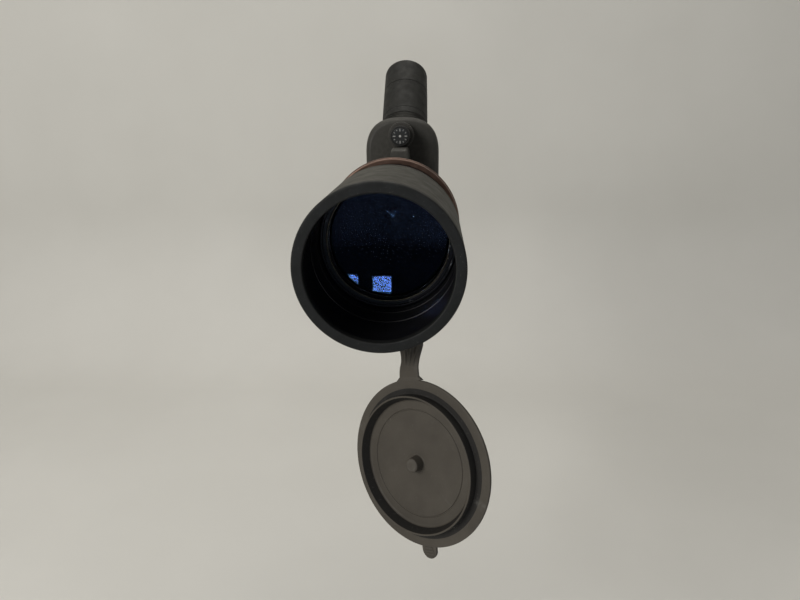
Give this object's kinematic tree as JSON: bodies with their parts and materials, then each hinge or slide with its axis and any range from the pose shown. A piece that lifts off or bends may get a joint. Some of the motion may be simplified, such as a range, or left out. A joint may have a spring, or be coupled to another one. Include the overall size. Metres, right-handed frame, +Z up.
{
  "type": "angled spotting scope",
  "caption": "Angled spotting scope with a large hooded objective, rotating mounting collar and dovetail foot, dual focus knobs, zoom eyepiece with twist-up eyecup and tethered rubber lens cap.",
  "frame": {"origin": "centre of the dovetail plate's flat lower face", "axes": "+Z up, +Y along the optical axis towards the user, -Y towards the objective, +X to the right of someone facing the objective; the eyepiece leans up and back at 45 degrees"},
  "size_m": [0.1523, 0.5313, 0.3763],
  "materials": {
    "armour": "grained rubber armour, warm dark grey-green",
    "dark_rubber": "smooth matt black rubber",
    "cap_rubber": "soft matt rubber, warm dark grey",
    "black_anodised": "satin black anodised",
    "satin_paint": "satin dark grey paint",
    "copper_anodised": "satin copper-brown anodised",
    "brass": "turned",
    "steel": "brushed",
    "nylon": "natural",
    "glass": "coated, faint blue and purple reflections",
    "print": "smooth with plain printed ticks"
  },
  "bodies": {
    "mount": {"collar_ring": "satin_paint", "foot": "satin_paint", "foot_screw_front": "steel", "foot_screw_rear": "steel", "dovetail_plate": "black_anodised", "plate_screw_front": "steel", "plate_screw_rear": "steel"},
    "lock": {"lock_screw": "steel", "collar_lock_knob": "dark_rubber"},
    "brake": {"brake_shoe": "nylon"},
    "scope": {"objective_barrel": "black_anodised", "accent_ring": "copper_anodised", "lens_retaining_ring": "black_anodised", "lens_cell": "black_anodised", "objective_front_lens": "glass", "lens_spacer": "black_anodised", "objective_rear_lens": "glass", "main_tube": "black_anodised", "tube_armour": "armour", "collar_retaining_ring": "black_anodised", "prism_housing": "armour", "neck_housing": "armour", "roof_prism": "glass", "prism_bracket": "black_anodised", "prism_cheek_left": "black_anodised", "prism_cheek_right": "black_anodised", "guide_rod_left": "steel", "guide_rod_right": "steel", "guide_rod_ring": "black_anodised", "shaft_bush": "brass", "eyepiece_socket": "black_anodised", "eyepiece_barrel": "black_anodised", "eye_lens": "glass", "eye_lens_ring": "black_anodised"},
    "hood": {"hood_rim": "dark_rubber", "hood_tube": "black_anodised", "hood_armour": "armour", "cap_strap_pad": "cap_rubber", "cap_strap_stud": "black_anodised"},
    "strap_upper": {"cap_strap_upper": "cap_rubber"},
    "strap_lower": {"cap_strap_lower": "cap_rubber"},
    "cap": {"objective_cap": "cap_rubber"},
    "coarse_knob": {"focus_shaft": "steel", "coarse_focus_knob": "dark_rubber"},
    "fine_knob": {"fine_focus_knob": "dark_rubber", "fine_knob_badge": "print"},
    "focus_carriage": {"focus_cell": "black_anodised", "focus_lens": "glass", "focus_arm": "black_anodised", "focus_nut": "brass"},
    "zoom_ring": {"zoom_ring": "armour"},
    "zoom_front": {"zoom_cell_front": "black_anodised", "zoom_lens_front": "glass"},
    "zoom_rear": {"zoom_cell_rear": "black_anodised", "zoom_lens_rear": "glass"},
    "eyecup_guide": {"eyecup_guide_ring": "brass"},
    "eyecup": {"eyecup": "dark_rubber"},
    "button": {"release_button": "steel"}
  },
  "joints": [
    {"name": "collar_rotation", "type": "hinge", "parent": "mount", "child": "scope", "pos_m": [0, 0.003, 0.09], "axis": [0, 1, 0], "continuous": true},
    {"name": "collar_lock_turn", "type": "hinge", "parent": "mount", "child": "lock", "pos_m": [-0.06, 0.003, 0.09], "axis": [-1, 0, 0], "range_deg": [0, 270]},
    {"name": "brake_shoe_travel", "type": "slide", "parent": "mount", "child": "brake", "axis": [-1, 0, 0], "range_m": [0, 0.00062]},
    {"name": "hood_slide", "type": "slide", "parent": "scope", "child": "hood", "axis": [0, 1, 0], "range_m": [0, 0.045]},
    {"name": "strap_swing", "type": "hinge", "parent": "hood", "child": "strap_upper", "pos_m": [0.01856, -0.21911, 0.03126], "axis": [0.9535, 0, 0.3014], "range_deg": [-80.04, 40], "stiffness_Nm_per_rad": 0.12, "springref_deg": -4.74},
    {"name": "strap_twist", "type": "hinge", "parent": "strap_upper", "child": "strap_lower", "pos_m": [0.01794, -0.21984, 0.01662], "axis": [-0.0424, -0.0495, -0.9979], "range_deg": [-42.58, 40], "stiffness_Nm_per_rad": 0.06, "springref_deg": 0.57},
    {"name": "cap_fold", "type": "hinge", "parent": "strap_lower", "child": "cap", "pos_m": [0.01732, -0.22057, 0.00197], "axis": [0.7955, -0.5191, 0.3125], "range_deg": [-91.36, 60], "stiffness_Nm_per_rad": 0.12, "springref_deg": -2.83},
    {"name": "coarse_focus_turn", "type": "hinge", "parent": "scope", "child": "coarse_knob", "pos_m": [0, 0.075, 0.163], "axis": [0, 1, 0], "range_deg": [-360, 360]},
    {"name": "focus_carriage_travel", "type": "slide", "parent": "scope", "child": "focus_carriage", "axis": [0, 1, 0], "range_m": [-0.0081, 0.0081]},
    {"name": "fine_focus_turn", "type": "hinge", "parent": "coarse_knob", "child": "fine_knob", "pos_m": [0, 0.057, 0.163], "axis": [0, 1, 0], "range_deg": [-720, 720]},
    {"name": "zoom_ring_turn", "type": "hinge", "parent": "scope", "child": "zoom_ring", "pos_m": [0, 0.18387, 0.18687], "axis": [0, 0.7071, 0.7071], "range_deg": [0, 120]},
    {"name": "zoom_front_travel", "type": "slide", "parent": "scope", "child": "zoom_front", "axis": [0, 0.7071, 0.7071], "range_m": [0, 0.0061]},
    {"name": "zoom_rear_travel", "type": "slide", "parent": "scope", "child": "zoom_rear", "axis": [0, 0.7071, 0.7071], "range_m": [-0.0051, 0]},
    {"name": "eyecup_rise", "type": "slide", "parent": "scope", "child": "eyecup_guide", "axis": [0, 0.7071, 0.7071], "range_m": [0, 0.0081]},
    {"name": "eyecup_twist", "type": "hinge", "parent": "eyecup_guide", "child": "eyecup", "pos_m": [0, 0.21782, 0.22082], "axis": [0, 0.7071, 0.7071], "range_deg": [0, 120]},
    {"name": "release_button_press", "type": "slide", "parent": "scope", "child": "button", "axis": [0, -0.7071, 0.7071], "range_m": [0, 0.0018], "stiffness_N_per_m": 500, "springref_m": -0.001}
  ],
  "couplings": [
    {"joint": "brake_shoe_travel", "follows": "collar_lock_turn", "m_per_rad": 0.00012732},
    {"joint": "focus_carriage_travel", "follows": "coarse_focus_turn", "m_per_rad": 0.0012732},
    {"joint": "zoom_front_travel", "follows": "zoom_ring_turn", "m_per_rad": 0.0028648},
    {"joint": "zoom_rear_travel", "follows": "zoom_ring_turn", "m_per_rad": -0.0023873},
    {"joint": "eyecup_rise", "follows": "eyecup_twist", "m_per_rad": 0.0038197}
  ]
}
